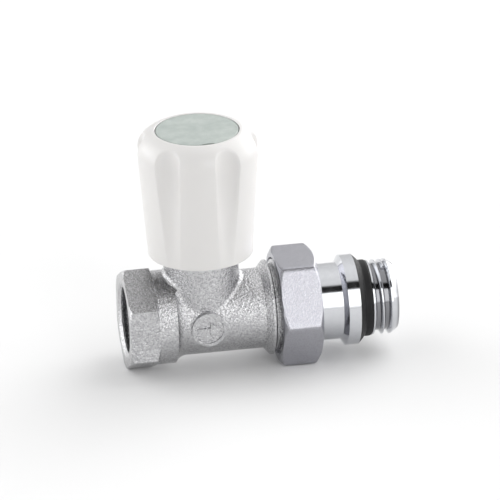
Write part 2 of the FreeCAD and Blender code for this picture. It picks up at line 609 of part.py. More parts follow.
def cross_slot(z, direction):
    """Cross recess of a screw head whose outer face is at z and looks along direction."""
    low = z - CROSS_DEPTH if direction > 0 else z - OVERRUN
    height = CROSS_DEPTH + OVERRUN
    arms = []
    for length, width in ((CROSS_LEN, CROSS_W), (CROSS_W, CROSS_LEN)):
        arms.append(Part.makeBox(length, width, height, V(NECK_AT - length / 2, -width / 2, low)))
    return arms[0].fuse(arms[1])


def plug_screw():
    under = WASHER_Z - PLATE_T
    bottom = under - PLUG_SCREW_HEAD_T
    head_r = PLUG_SCREW_HEAD_D / 2
    tip = WASHER_Z + WASHER_T + PLUG_SCREW_GRIP - PLUG_SCREW_SPARE
    body = turned_z([(bottom, 0), (bottom, head_r - PLUG_EDGE), (bottom + PLUG_EDGE, head_r),
                     (under, head_r), (under, PLUG_SCREW_R), (tip, PLUG_SCREW_R), (tip, 0)])
    return body.cut(cross_slot(bottom, -1))


# ---- handwheel --------------------------------------------------------------------------------------
def wheel_shell():
    """The tapered outside with its swelling crown, before the flutes."""
    shoulder = V(NECK_AT + WHEEL_SHOULDER_D / 2, 0, WHEEL_SHOULDER_Z)
    rim_r = COVER_D / 2 + COVER_PLAY + RIM_W
    rim = V(NECK_AT + rim_r, 0, WHEEL_TOP_Z)
    foot = V(NECK_AT + WHEEL_BOTTOM_D / 2, 0, WHEEL_BOTTOM_Z + WHEEL_EDGE)
    middle = (shoulder + rim) * 0.5
    across = rim - shoulder
    outward = V(across.z, 0, -across.x).normalize()
    crown = Part.Arc(shoulder, middle + outward * CROWN_BULGE, rim).toShape()
    inner_foot = V(NECK_AT + WHEEL_BOTTOM_D / 2 - WHEEL_EDGE, 0, WHEEL_BOTTOM_Z)
    straight = Part.makePolygon([rim, V(NECK_AT, 0, WHEEL_TOP_Z), V(NECK_AT, 0, WHEEL_BOTTOM_Z), inner_foot,
                                 foot, shoulder])
    outline = Part.Wire(Part.__sortEdges__(straight.Edges + [crown]))
    return Part.Face(outline).revolve(V(NECK_AT, 0, 0), Z_DIR, 360)


def cut_flutes(shell):
    distance = FLUTE_REACH + FLUTE_R
    for k in range(FLUTE_COUNT):
        a = math.radians(WHEEL_TURN + 360 / FLUTE_COUNT * k)
        x = NECK_AT + distance * math.cos(a)
        y = distance * math.sin(a)
        shell = shell.cut(rod_z(WHEEL_BOTTOM_Z - OVERRUN, WHEEL_TOP_Z + OVERRUN, FLUTE_R, x, y))
    return shell


def wheel_hollow():
    """Space under the deck, with a ring-shaped pocket that keeps the crown's wall even."""
    low_r = WHEEL_BOTTOM_D / 2 - WHEEL_WALL
    high_r = FLUTE_REACH - FLUTE_WALL
    pocket_r = WELL_D / 2 + POCKET_WALL
    below = WHEEL_BOTTOM_Z - OVERRUN
    return turned_z([(below, 0), (below, low_r), (DECK_Z - POCKET_DROP, high_r), (POCKET_TOP_Z, high_r),
                     (POCKET_TOP_Z, pocket_r), (DECK_Z, pocket_r), (DECK_Z, 0)])


def wheel_ribs():
    r = FLUTE_REACH - FLUTE_WALL + RIB_ROOT
    start = HUB_D / 2 - OVERRUN
    height = DECK_Z - HUB_Z - RIB_SETBACK + RIB_ROOT
    ribs = []
    for k in range(FLUTE_COUNT):
        rib = Part.makeBox(r - start, RIB_T, height, V(start, -RIB_T / 2, HUB_Z + RIB_SETBACK))
        rib.rotate(V(0, 0, 0), Z_DIR, WHEEL_TURN + 360 / FLUTE_COUNT * k)
        rib.translate(V(NECK_AT, 0, 0))
        ribs.append(rib)
    return ribs


def handwheel():
    body = cut_flutes(wheel_shell()).cut(wheel_hollow())
    body = body.fuse([rod_z(HUB_Z, DECK_Z + RIB_ROOT, HUB_D / 2)] + wheel_ribs())
    above = WHEEL_TOP_Z + OVERRUN
    well = rod_z(DECK_TOP_Z, above, WELL_D / 2)
    recess = rod_z(COVER_SEAT_Z, above, COVER_D / 2 + COVER_PLAY)
    socket = serrated(HUB_Z - OVERRUN, DRIVE_TOP_Z + SLIP, DRIVE_PLAY)
    screw_hole = rod_z(HUB_Z, DECK_TOP_Z + OVERRUN, WHEEL_SCREW_R + WHEEL_SCREW_PLAY)
    return body.cut(well).cut(recess).cut(socket).cut(screw_hole)


def wheel_washer():
    hole_r = WHEEL_SCREW_R + WHEEL_WASHER_PLAY
    return pipe_z(DECK_TOP_Z, DECK_TOP_Z + WHEEL_WASHER_T, WHEEL_WASHER_D / 2, hole_r)


def wheel_screw():
    under = DECK_TOP_Z + WHEEL_WASHER_T
    top = under + WHEEL_SCREW_HEAD_T
    head_r = WHEEL_SCREW_HEAD_D / 2
    tip = DRIVE_TOP_Z - WHEEL_SCREW_GRIP
    body = turned_z([(tip, 0), (tip, WHEEL_SCREW_R - WHEEL_SCREW_TIP),
                     (tip + WHEEL_SCREW_TIP, WHEEL_SCREW_R), (under, WHEEL_SCREW_R), (under, head_r),
                     (top - WHEEL_SCREW_BEVEL, head_r), (top, head_r - WHEEL_SCREW_BEVEL), (top, 0)])
    return body.cut(cross_slot(top, 1))


def cover_disc():
    """Snap-in disc with four spring skirts below it and a bite at its edge to prise it out."""
    r = COVER_D / 2
    skirt_r = WELL_D / 2 - COVER_SKIRT_PLAY
    skirt_foot = COVER_SEAT_Z - COVER_SKIRT_DEPTH
    disc = turned_z([(COVER_SEAT_Z, 0), (COVER_SEAT_Z, r), (WHEEL_TOP_Z - COVER_EDGE, r),
                     (WHEEL_TOP_Z, r - COVER_EDGE), (WHEEL_TOP_Z, 0)])
    skirt = pipe_z(skirt_foot, COVER_SEAT_Z + COVER_EDGE, skirt_r, skirt_r - COVER_SKIRT_T)
    for k in range(COVER_SLOTS):
        corner = V(0, -COVER_SLOT_W / 2, skirt_foot)
        slot = Part.makeBox(WELL_D, COVER_SLOT_W, COVER_SKIRT_DEPTH, corner)
        slot.rotate(V(0, 0, 0), Z_DIR, 360 / COVER_SLOTS * k)
        slot.translate(V(NECK_AT, 0, 0))
        skirt = skirt.cut(slot)
    bite_at = r + NOTCH_R - NOTCH_BITE
    bite_angle = math.radians(WHEEL_TURN + NOTCH_TURN)
    bite = rod_z(COVER_SEAT_Z - OVERRUN, WHEEL_TOP_Z + OVERRUN, NOTCH_R,
                 NECK_AT + bite_at * math.cos(bite_angle), bite_at * math.sin(bite_angle))
    return disc.cut(bite).fuse(skirt)


# ---- union ------------------------------------------------------------------------------------------
def union_nut():
    corner_r = (NUT_AF + NUT_CORNER_MORE) / 2
    left_r = (NUT_AF + NUT_LEFT_MORE) / 2
    right_r = (NUT_AF + NUT_RIGHT_MORE) / 2
    left = (corner_r - left_r) * NUT_CHAMFER_SLOPE
    right = (corner_r - right_r) * NUT_CHAMFER_SLOPE
    limit = turned_x([(NUT_START, 0), (NUT_START, left_r), (NUT_START + left, corner_r),
                      (NUT_END - right, corner_r), (NUT_END, right_r), (NUT_END, 0)])
    outside = hexagon(V(NUT_START, 0, 0), X_DIR, NUT_AF, NUT_LEN, Y_DIR).common(limit)
    root_r = UNION_R + THREAD_PLAY
    crest_r = UNION_MINOR_R + THREAD_PLAY
    thread_end = NUT_START + NUT_THREAD_LEN
    ring_r = TAIL_R + RING_PROUD + NUT_ROOM
    lip_r = TAIL_R + NUT_LIP_PLAY
    mouth_r = root_r + NUT_MOUTH / 2
    rim_r = lip_r + NUT_LIP_EDGE
    before = NUT_START - OVERRUN
    past = NUT_END + OVERRUN
    hollow = turned_x([(before, 0), (before, mouth_r), (NUT_START, mouth_r),
                       (NUT_START + NUT_MOUTH, root_r), (thread_end, root_r),
                       (thread_end + NUT_ROOM, ring_r), (LIP_X, ring_r), (LIP_X, lip_r),
                       (NUT_END - NUT_LIP_EDGE, lip_r), (NUT_END, rim_r), (past, rim_r), (past, 0)])
    start = UNION_THREAD_X + PIPE_PITCH * (THREAD_PHASE + 1.5)
    turns = (thread_end - start) / PIPE_PITCH - HALF_TURN_SHY
    ridge = winding(root_r, crest_r, PIPE_PITCH, turns, PIPE_HALF_ANGLE, pipe_crest(THREAD_PLAY))
    return outside.cut(hollow).fuse(along_x(ridge, start))


def tail_cone_x(radius):
    """Where the tail's 45 degree cone has this radius."""
    return CONE_START + radius - OUTLET_WAY_D / 2 + CONE_PLAY


def tailpiece():
    r = TAIL_R
    nose_x = CONE_START + TAIL_NOSE_LEN
    nose_r = OUTLET_WAY_D / 2 + TAIL_NOSE_LEN - CONE_PLAY
    ring_r = r - RING_DEPTH
    groove_end = RING_X + RING_T + SLIP
    core = INLET_MINOR_R
    points = [(nose_x, 0), (nose_x, nose_r), (tail_cone_x(r), r), (RING_X, r), (RING_X, ring_r),
              (groove_end, ring_r), (groove_end, r), (COLLAR_FROM, r), (COLLAR_TOP_X, COLLAR_D / 2),
              (COLLAR_TOP_X + COLLAR_LEN, COLLAR_D / 2), (SEAL_X, COLLAR_FOOT_D / 2),
              (SEAL_X, SEAL_SEAT_D / 2), (TAIL_THREAD_X, SEAL_SEAT_D / 2), (TAIL_THREAD_X, HALF_INCH_R),
              (TAIL_THREAD_X + LAND, HALF_INCH_R), (TAIL_THREAD_X + LAND + RUNOUT, core)]
    last = TAIL_THREAD_END
    points += [(last - LAND - RUNOUT, core), (last - LAND, HALF_INCH_R), (last, HALF_INCH_R),
               (TAIL_END, TAIL_END_D / 2), (TAIL_END, 0)]
    turns = (last - TAIL_THREAD_X - 2 * LAND) / PIPE_PITCH - 1.0
    ridge = winding(core, HALF_INCH_R - CREST_SHY, PIPE_PITCH, turns, PIPE_HALF_ANGLE, pipe_crest())
    body = turned_x(points).fuse(along_x(ridge, TAIL_THREAD_X + LAND + PIPE_PITCH * 0.5))
    bore = rod_x(nose_x - OVERRUN, TAIL_END + OVERRUN, TAIL_BORE_D / 2)
    key = hexagon(V(TAIL_END - KEY_DEPTH, 0, 0), X_DIR, KEY_AF, KEY_DEPTH + OVERRUN, Z_DIR)
    groove = cone_ring_shape(CONE_RING_R + RUBBER_PLAY)
    return body.cut(bore).cut(key).cut(groove)


def cone_ring_shape(section_r):
    """A ring let into the tail's cone so deep that it just reaches the cone's surface."""
    centre_r = (OUTLET_WAY_D / 2 + TAIL_R) / 2 - CONE_RING_SHIFT
    inward = CONE_RING_R / math.sqrt(2)
    x = tail_cone_x(centre_r) + inward
    return Part.makeTorus(centre_r - inward, section_r, V(x, 0, 0), X_DIR)


def union_o_ring():
    return cone_ring_shape(CONE_RING_R)


def nut_ring():
    """Split spring ring in the tail's groove.  It bears on the nut's lip."""
    outer = TAIL_R + RING_PROUD
    ring = pipe_x(RING_X, RING_X + RING_T, outer, TAIL_R - RING_DEPTH + SLIP)
    start = V(RING_X - OVERRUN, -RING_GAP / 2, 0)
    return ring.cut(Part.makeBox(RING_T + 2 * OVERRUN, RING_GAP, outer + OVERRUN, start))


def radiator_seal():
    ring = pipe_x(SEAL_X, TAIL_THREAD_X, SEAL_D / 2, SEAL_SEAT_D / 2 + RUBBER_PLAY)
    circles = [e for e in ring.Edges if isinstance(e.Curve, Part.Circle)]
    outer = [e for e in circles if e.Curve.Radius > SEAL_SEAT_D / 2 + RUBBER_PLAY * 2]
    return ring.makeFillet(SEAL_W * SEAL_ROUND, outer)


# ---- all nodes --------------------------------------------------------------------------------------
def nodes():
    return {
        "valve_body": valve_body(),
        "bonnet": bonnet(),
        "bonnet_gasket": bonnet_gasket(),
        "spindle": spindle(),
        "spindle_thrust_washer": thrust_washer(),
        "spindle_o_ring_lower": spindle_o_ring(O_RING_ZS[0]),
        "spindle_o_ring_upper": spindle_o_ring(O_RING_ZS[1]),
        "spindle_clip": spindle_clip(),
        "plug_carrier": plug_carrier(),
        "plug_washer": plug_washer(),
        "plug_plate": plug_plate(),
        "plug_screw": plug_screw(),
        "handwheel": handwheel(),
        "handwheel_washer": wheel_washer(),
        "handwheel_screw": wheel_screw(),
        "cover_disc": cover_disc(),
        "union_nut": union_nut(),
        "nut_retaining_ring": nut_ring(),
        "tailpiece": tailpiece(),
        "union_o_ring": union_o_ring(),
        "radiator_seal": radiator_seal(),
    }


def write_nodes():
    os.makedirs("parts", exist_ok=True)
    for name, shape in nodes().items():
        shape.translate(V(-MOUTH_DEPTH, 0, 0))
        shape.exportStep("parts/" + name + ".step")
        print(f"{name:24s} solids {len(shape.Solids)} valid {shape.isValid()} volume {shape.Volume:9.1f}")


write_nodes()
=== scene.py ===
"""Studio, camera, materials and finer visible pieces for a straight radiator valve."""

import json
import math

import bmesh
import bpy
import numpy as np
from mathutils import Matrix, Vector

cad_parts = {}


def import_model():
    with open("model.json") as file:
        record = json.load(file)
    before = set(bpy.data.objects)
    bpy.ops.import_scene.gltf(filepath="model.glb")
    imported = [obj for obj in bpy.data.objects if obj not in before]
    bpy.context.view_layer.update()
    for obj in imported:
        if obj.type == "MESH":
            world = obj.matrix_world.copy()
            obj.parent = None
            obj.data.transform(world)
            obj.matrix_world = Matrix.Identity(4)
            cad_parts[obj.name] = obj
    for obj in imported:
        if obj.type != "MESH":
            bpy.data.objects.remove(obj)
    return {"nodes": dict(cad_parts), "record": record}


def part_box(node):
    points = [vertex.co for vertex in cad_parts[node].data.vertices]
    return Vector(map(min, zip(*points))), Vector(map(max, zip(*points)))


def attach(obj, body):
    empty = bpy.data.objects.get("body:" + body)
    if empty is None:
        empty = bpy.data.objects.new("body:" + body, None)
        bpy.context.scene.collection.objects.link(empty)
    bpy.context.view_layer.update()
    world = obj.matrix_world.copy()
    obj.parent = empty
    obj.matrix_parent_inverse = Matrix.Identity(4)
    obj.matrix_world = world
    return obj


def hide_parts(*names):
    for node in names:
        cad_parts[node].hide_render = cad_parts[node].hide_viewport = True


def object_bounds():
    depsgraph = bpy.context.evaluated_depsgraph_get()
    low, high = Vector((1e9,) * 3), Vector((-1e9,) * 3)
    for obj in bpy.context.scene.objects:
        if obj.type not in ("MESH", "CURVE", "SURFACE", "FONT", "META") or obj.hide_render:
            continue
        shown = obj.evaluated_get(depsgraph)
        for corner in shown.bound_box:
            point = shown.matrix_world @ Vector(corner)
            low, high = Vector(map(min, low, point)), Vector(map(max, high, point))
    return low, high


MM = 0.001
AROUND = 720                    # points round a detailed turned piece
SHARP_ANGLE = 38                # degrees; flatter edges than this are shaded smooth

# ---- handwheel, in millimetres above its own foot ------------------------------------------------------
WHEEL_FOOT_R = 14.6
WHEEL_FOOT_EDGE = 0.35          # rounding round the foot, and a point part way up it
WHEEL_FOOT_MID = 0.1
WHEEL_FOOT_WALL = 1.9
WHEEL_R = 17.05
CROWN_LEN = 5.4
CROWN_BULGE = 1.1
CROWN_ROUND = 2.2
CROWN_POINTS = 24
RIM_R = 12.4
FLUTE_COUNT = 6
FLUTE_REACH = 14.55             # deepest line of a flute, from the spindle's axis
FLUTE_R = 4.6
FLUTE_BLEND = 0.7
WHEEL_TURN = -9.5               # angle of the first flute
COVER_T = 1.5
COVER_HOLE_R = 11.65
COVER_HOLE_EDGE = 0.12
WELL_R = 9.9
WELL_WALL = 1.6
DECK_TOP = 27.12
DECK_T = 2.4
HUB_FOOT = 15.72
HUB_R = 6.6
SCREW_HOLE_R = 2.2
INSIDE_R = 12.6
INSIDE_DROP = 6.0               # the inside is straight down to this far below the deck
CROWN_SOLID = 4.6               # thickness of the crown's roof beside the well

# ---- union nut, in millimetres from its left end -------------------------------------------------------
NUT_AF = 29.6
NUT_CORNER_MORE = 4.3           # how much wider than the flats the circles are: round the corners,
NUT_LEFT_MORE = 1.0             # on the left end and on the right end
NUT_RIGHT_MORE = 0.2
NUT_CHAMFER_SLOPE = math.tan(math.radians(35))
NUT_END_STEP = 0.15             # the chamfers start this far inside the ends
NUT_LEFT_INSET = 0.3            # how far inside the flats the two end faces stop
NUT_RIGHT_INSET = 0.6
NUT_SOFTEN = 0.45
NUT_STEP = 0.12
NUT_BLEND = 0.5
NUT_ROOT_R = 13.361
NUT_LEAD = 0.8                  # cone at the mouth: length, and how much wider it opens
NUT_LEAD_MORE = 0.4
NUT_ROOT_END = 8.2
NUT_RELIEF_FROM = 8.5
NUT_RELIEF_R = 12.3
LIP_R = 10.95
LIP_T = 1.65
LIP_EDGE = 0.4

# ---- radiator end and its seal, in millimetres ---------------------------------------------------------
GROOVE_SHADE_R = 9.2                  # painted shade darkens the thread's grooves up to here
CREST_R = 9.9                   # and fades out fully from here
SEAL_R = 10.7
SEAL_INSIDE_R = 9.3
SHADE_SKIRT_LAP = 1.35                 # how far the seal's black skirt, painted shade for the collar's bevel, laps over that bevel
SHADE_SKIRT_R = 12.64                 # reach of the skirt up the bevel
SHADE_SKIRT_FOOT_R = 11.35            # and where the skirt meets the ring
SHADE_SKIRT_FOOT_LEN = 0.4
SEAL_EDGE_LEN = 0.3             # bevel of the ring's right edge
SEAL_EDGE_DROP = 0.6
SEAL_SOFTEN = 0.4
SEAL_STEP = 0.1
SEAL_AROUND = 240

# ---- studio light: (elevation in degrees, light) from the floor in front, up and over to the back -------
WALL_TOP = 3.6                  # brightest light in the two lists of bands
WALL_BANDS = [(-180, 0.8), (-20, 0.7), (0, 1.0), (8, 3.5), (46, 3.5), (49, 0.02), (67, 0.02), (72, 1.5),
              (110, 1.7), (150, 1.4), (180, 1.1)]
SIDE_BANDS = [(-180, 0.8), (-20, 0.6), (0, 0.6), (60, 0.5), (90, 0.6), (150, 1.4), (180, 1.1)]
# from the far left, 0, to the far right, 1: the share of the wall's bands, and the gain on the light
SIDE_MASK = [(0.0, 0.0), (0.46, 0.0), (0.53, 1.0), (0.66, 1.0), (0.73, 0.0), (1.0, 0.0)]
GAIN_TOP = 4.0
SIDE_GAIN = [(0.0, 3.4), (0.12, 2.6), (0.3, 0.7), (0.42, 0.42), (0.54, 0.5), (0.6, 0.7), (0.68, 1.4),
             (0.8, 2.8), (1.0, 3.2)]
FLOOR_SIZE = 6.0
FLOOR_GREY = 0.78

# ---- camera: long lens from the front left, a little above -------------------------------------------
CAMERA_AZIMUTH = -9.6
CAMERA_ELEVATION = 23.4
CAMERA_ROLL = -1.45
CAMERA_DISTANCE = 1.6
CLIP_START = 0.05
CLIP_END = 20.0
SENSOR_WIDTH = 36.0
FIELD_WIDTH = 0.1385            # width seen at the object
AIM_FROM_NECK = Vector((12.9, 0.0, 15.0)) * MM
AIM_RIGHT = 0.91 * MM
AIM_UP = 2.5 * MM

# ---- plated grain -------------------------------------------------------------------------------------
FINE_GRAIN = 2.3                # how much finer the second grain is
FINE_DEPTH = 0.5                # and how deep, as a share of the first
ROUGH_SPREAD = 0.12

# ---- colour sockets of the Mix node -------------------------------------------------------------------
MIX_COLOURS = (6, 7)
MIX_RESULT = 2


# ---- camera and stage ----------------------------------------------------------------------------------
def look_direction():
    """The unit vector from the object towards the camera."""
    a, e = math.radians(CAMERA_AZIMUTH), math.radians(CAMERA_ELEVATION)
    return Vector((math.sin(a) * math.cos(e), -math.cos(a) * math.cos(e), math.sin(e)))


def add_camera(neck_x):
    back = look_direction()
    turn = (-back).to_track_quat("-Z", "Y").to_matrix() @ Matrix.Rotation(math.radians(CAMERA_ROLL), 3, "Z")
    aim = Vector((neck_x, 0, 0)) + AIM_FROM_NECK + turn @ Vector((AIM_RIGHT, AIM_UP, 0))
    data = bpy.data.cameras.new("camera")
    data.sensor_width = SENSOR_WIDTH
    data.lens = SENSOR_WIDTH * CAMERA_DISTANCE / FIELD_WIDTH
    data.clip_start = CLIP_START
    data.clip_end = CLIP_END
    camera = bpy.data.objects.new("camera", data)
    camera.matrix_world = Matrix.Translation(aim + back * CAMERA_DISTANCE) @ turn.to_4x4()
    bpy.context.scene.collection.objects.link(camera)
    bpy.context.scene.camera = camera


def add_floor(z):
    bpy.ops.mesh.primitive_plane_add(size=FLOOR_SIZE, location=(0, 0, z))
    floor = bpy.context.object
    floor.name = "floor"
    mat, shader = new_material("floor_paper")
    shader.inputs["Base Color"].default_value = (FLOOR_GREY, FLOOR_GREY, FLOOR_GREY, 1)
    shader.inputs["Roughness"].default_value = 0.9
    floor.data.materials.append(mat)


def math_node(tree, operation, first, second):
    """A Math node on two values, each a number or another node's output."""
    made = tree.nodes.new("ShaderNodeMath")
    made.operation = operation
    for socket, value in zip(made.inputs, (first, second)):
        if isinstance(value, (int, float)):
            socket.default_value = value
        else:
            tree.links.new(value, socket)
    return made.outputs[0]


def ramp_node(tree, value, stops, top):
    """A grey ramp from (position, light) stops, with lights up to top."""
    made = tree.nodes.new("ShaderNodeValToRGB")
    elements = made.color_ramp.elements
    while len(elements) > 1:
        elements.remove(elements[0])
    for k, (position, light) in enumerate(stops):
        stop = elements[0] if k == 0 else elements.new(position)
        stop.position = position
        stop.color = (light / top, light / top, light / top, 1)
    tree.links.new(value, made.inputs[0])
    return math_node(tree, "MULTIPLY", made.outputs[0], top)


def band_stops(bands):
    """Stops along a full turn, from -180 to 180 degrees."""
    return [((degrees + 180) / 360, light) for degrees, light in bands]


def add_world():
    """A studio tent: a bright panel in front under a dark strip, bright sides, a grey roof and back."""
    world = bpy.data.worlds.new("studio")
    bpy.context.scene.world = world
    world.use_nodes = True
    tree = world.node_tree
    background = tree.nodes["Background"]
    where = tree.nodes.new("ShaderNodeTexCoord")
    split = tree.nodes.new("ShaderNodeSeparateXYZ")
    tree.links.new(where.outputs["Generated"], split.inputs[0])
    x, y, z = split.outputs
    front = math_node(tree, "MULTIPLY", y, -1)
    height = math_node(tree, "ARCTAN2", z, front)
    share = math_node(tree, "ADD", math_node(tree, "DIVIDE", height, 2 * math.pi), 0.5)
    wall = ramp_node(tree, share, band_stops(WALL_BANDS), WALL_TOP)
    plain = ramp_node(tree, share, band_stops(SIDE_BANDS), WALL_TOP)
    side = math_node(tree, "ADD", math_node(tree, "MULTIPLY", x, 0.5), 0.5)
    in_panel = ramp_node(tree, side, SIDE_MASK, 1)
    wall_share = math_node(tree, "MULTIPLY", wall, in_panel)
    plain_share = math_node(tree, "MULTIPLY", plain, math_node(tree, "SUBTRACT", 1, in_panel))
    light = math_node(tree, "ADD", wall_share, plain_share)
    strength = math_node(tree, "MULTIPLY", light, ramp_node(tree, side, SIDE_GAIN, GAIN_TOP))
    background.inputs["Color"].default_value = (1, 1, 1, 1)
    tree.links.new(strength, background.inputs["Strength"])


# ---- material helpers ----------------------------------------------------------------------------------
def new_material(name):
    mat = bpy.data.materials.new(name)
    mat.use_nodes = True
    return mat, mat.node_tree.nodes["Principled BSDF"]


def new_metal(name):
    mat, shader = new_material(name)
    shader.inputs["Metallic"].default_value = 1.0
    return mat, shader


def node(mat, kind, **values):
    """A new node, with each value set on its input, or on the node itself where no input has that name."""
    made = mat.node_tree.nodes.new(kind)
    for key, value in values.items():
        if key in made.inputs:
            made.inputs[key].default_value = value
        else:
            setattr(made, key, value)
    return made


def link(mat, source, target):
    mat.node_tree.links.new(source, target)


def noise(mat, scale, detail=2.0, roughness=0.5, stretch=(1, 1, 1)):
    """Noise in the object's own metres; scale counts blotches per millimetre."""
    place = node(mat, "ShaderNodeTexCoord")
    mapping = node(mat, "ShaderNodeMapping")
    mapping.inputs["Scale"].default_value = [s / MM for s in stretch]
    link(mat, place.outputs["Object"], mapping.inputs["Vector"])
    made = node(mat, "ShaderNodeTexNoise", Scale=scale, Detail=detail, Roughness=roughness)
    link(mat, mapping.outputs[0], made.inputs["Vector"])
    return made.outputs["Fac"]


def spread(mat, value, low, high, from_low=0.3, from_high=0.7):
    """Maps a value from one range onto another, and holds it at the ends."""
    made = node(mat, "ShaderNodeMapRange")
    made.inputs["From Min"].default_value = from_low
    made.inputs["From Max"].default_value = from_high
    made.inputs["To Min"].default_value = low
    made.inputs["To Max"].default_value = high
    link(mat, value, made.inputs["Value"])
    return made.outputs[0]


def blend_colours(mat, factor, first, second):
    """Mixes two colours, each three numbers or another node's output."""
    made = node(mat, "ShaderNodeMix", data_type="RGBA")
    link(mat, factor, made.inputs[0])
    for k, colour in zip(MIX_COLOURS, (first, second)):
        if isinstance(colour, bpy.types.NodeSocket):
            link(mat, colour, made.inputs[k])
        else:
            made.inputs[k].default_value = (*colour, 1)
    return made.outputs[MIX_RESULT]


def bump(mat, shader, heights):
    """Chains (height, distance in mm, strength) bumps into the shader's normal."""
    last = None
    for height, distance, strength in heights:
        made = node(mat, "ShaderNodeBump", Strength=strength, Distance=distance * MM)
        link(mat, height, made.inputs["Height"])
        if last:
            link(mat, last, made.inputs["Normal"])
        last = made.outputs[0]
    link(mat, last, shader.inputs["Normal"])


def distance_from_x_axis(mat):
    """How far a point is from the pipe's axis, in millimetres."""
    place = node(mat, "ShaderNodeTexCoord")
    across = node(mat, "ShaderNodeVectorMath", operation="MULTIPLY")
    across.inputs[1].default_value = (0, 1 / MM, 1 / MM)
    link(mat, place.outputs["Object"], across.inputs[0])
    length = node(mat, "ShaderNodeVectorMath", operation="LENGTH")
    link(mat, across.outputs[0], length.inputs[0])
    return length.outputs["Value"]


# ---- metals --------------------------------------------------------------------------------------------
def grainy_metal(name, scale, dark, light, rough, depth):
    """Plated metal over a blasted surface: bright and dark grains with a bump that follows them."""
    mat, shader = new_metal(name)
    grain = noise(mat, scale, detail=2.0, roughness=0.55)
    fine = noise(mat, scale * FINE_GRAIN, detail=1.0)
    link(mat, blend_colours(mat, spread(mat, grain, 0.0, 1.0), dark, light), shader.inputs["Base Color"])
    link(mat, spread(mat, fine, rough, rough + ROUGH_SPREAD), shader.inputs["Roughness"])
    bump(mat, shader, [(fine, depth * FINE_DEPTH, 1.0), (grain, depth, 1.0)])
    return mat


def cast_chrome():
    return grainy_metal("cast_chrome", scale=1.8, dark=(0.37, 0.37, 0.38), light=(0.62, 0.62, 0.63),
                        rough=0.12, depth=0.22)


def nut_chrome():
    return grainy_metal("nut_chrome", scale=3.0, dark=(0.36, 0.36, 0.39), light=(0.46, 0.46, 0.495),
                        rough=0.20, depth=0.045)


def polished_chrome():
    """Bright plating, with painted shade darkening the thread's grooves."""
    mat, shader = new_metal("polished_chrome")
    wipe = noise(mat, 0.8, detail=3.0)
    bright = blend_colours(mat, wipe, (0.58, 0.59, 0.62), (0.66, 0.67, 0.69))
    # painted shade: the thread's grooves get a near-black colour, fading to the bright plating at the crests
    groove_shade_fade = spread(mat, distance_from_x_axis(mat), 0.0, 1.0, GROOVE_SHADE_R, CREST_R)
    link(mat, blend_colours(mat, groove_shade_fade, (0.16, 0.16, 0.17), bright), shader.inputs["Base Color"])
    link(mat, spread(mat, wipe, 0.09, 0.14), shader.inputs["Roughness"])
    bump(mat, shader, [(noise(mat, 0.5, detail=1.0), 0.01, 0.12)])
    return mat


def turned_metal(name, dark, light, rough):
    """Plain machined metal with faint rings round the vertical axis."""
    mat, shader = new_metal(name)
    stain = noise(mat, 0.3, detail=3.0)
    link(mat, blend_colours(mat, stain, dark, light), shader.inputs["Base Color"])
    link(mat, spread(mat, noise(mat, 2.0), rough, rough + 0.1), shader.inputs["Roughness"])
    bump(mat, shader, [(noise(mat, 1.0, stretch=(0.6, 0.6, 12.0)), 0.01, 0.3)])
    return mat


# ---- plastics, rubber and fibre ------------------------------------------------------------------------
def white_plastic():
    mat, shader = new_material("white_plastic")
    tint = noise(mat, 0.06)
    link(mat, blend_colours(mat, tint, (0.63, 0.62, 0.61), (0.66, 0.65, 0.64)), shader.inputs["Base Color"])
    link(mat, spread(mat, noise(mat, 1.2, detail=3.0), 0.28, 0.36), shader.inputs["Roughness"])
    shader.inputs["Subsurface Weight"].default_value = 0.08
    shader.inputs["Subsurface Radius"].default_value = (0.002, 0.0018, 0.0015)
    bump(mat, shader, [(noise(mat, 1.4), 0.01, 0.15)])
    return mat


def grey_plastic():
    mat, shader = new_material("grey_plastic")
    tint = spread(mat, noise(mat, 0.3, detail=3.0), 0.0, 1.0)
    link(mat, blend_colours(mat, tint, (0.33, 0.37, 0.35), (0.42, 0.46, 0.435)), shader.inputs["Base Color"])
    grain = noise(mat, 3.0, detail=3.0)
    link(mat, spread(mat, grain, 0.38, 0.5), shader.inputs["Roughness"])
    bump(mat, shader, [(grain, 0.01, 0.25)])
    return mat


def rubber():
    mat, shader = new_material("rubber")
    dust = noise(mat, 1.5, detail=4.0)
    shade = blend_colours(mat, dust, (0.006, 0.006, 0.007), (0.018, 0.018, 0.018))
    link(mat, shade, shader.inputs["Base Color"])
    link(mat, spread(mat, dust, 0.42, 0.62), shader.inputs["Roughness"])
    shader.inputs["Specular IOR Level"].default_value = 0.2
    bump(mat, shader, [(noise(mat, 5.0, detail=3.0), 0.02, 0.4)])
    return mat


def fibre():
    mat, shader = new_material("gasket_fibre")
    speck = noise(mat, 2.0, detail=4.0)
    link(mat, blend_colours(mat, speck, (0.06, 0.12, 0.09), (0.12, 0.19, 0.15)), shader.inputs["Base Color"])
    shader.inputs["Roughness"].default_value = 0.85
    bump(mat, shader, [(speck, 0.05, 0.4)])
    return mat


def slip_plastic():
    mat, shader = new_material("slip_washer")
    haze = noise(mat, 1.0, detail=3.0)
    link(mat, blend_colours(mat, haze, (0.78, 0.78, 0.76), (0.84, 0.84, 0.82)), shader.inputs["Base Color"])
    shader.inputs["Roughness"].default_value = 0.5
    bump(mat, shader, [(haze, 0.01, 0.2)])
    return mat


